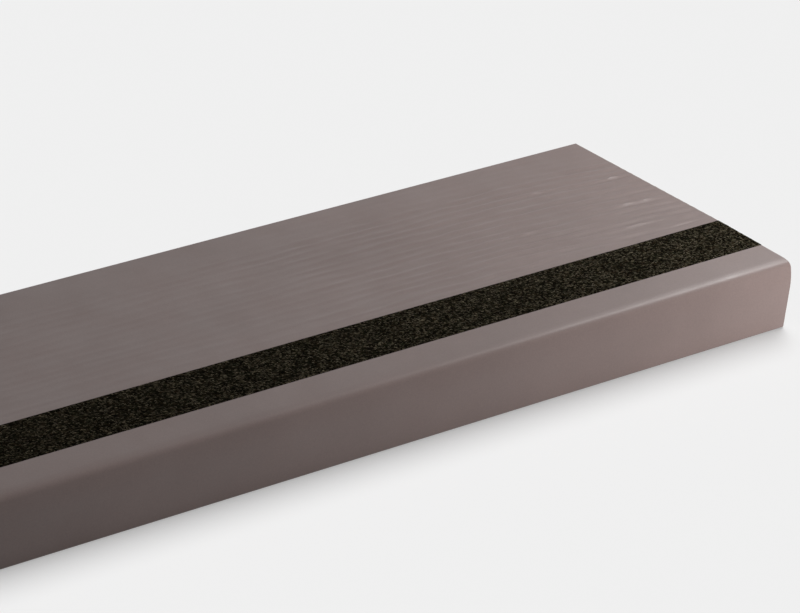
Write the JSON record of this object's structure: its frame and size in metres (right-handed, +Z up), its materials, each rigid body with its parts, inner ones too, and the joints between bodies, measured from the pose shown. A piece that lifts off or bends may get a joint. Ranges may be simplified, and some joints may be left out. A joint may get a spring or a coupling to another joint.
{
  "type": "rubber stair tread",
  "caption": "Long moulded rubber stair tread: a thin flat plate with a rounded nose turned down over the step's edge and a rough black grit strip let into its top just behind the nose.",
  "frame": {"origin": "on the floor that the loose tread lies on, under the middle of its outline", "axes": "+X along the tread's length, +Y from the nose towards the tread's back edge, +Z up from the floor; the plate slopes down towards +Y because the tread lies on the foot of its nose and on its back edge"},
  "size_m": [0.9144, 0.2666, 0.0541],
  "materials": {
    "moulded_rubber": "satin",
    "grit": "matte"
  },
  "bodies": {
    "root": {"rubber_tread": "moulded_rubber", "grit_strip": "grit"}
  },
  "joints": []
}
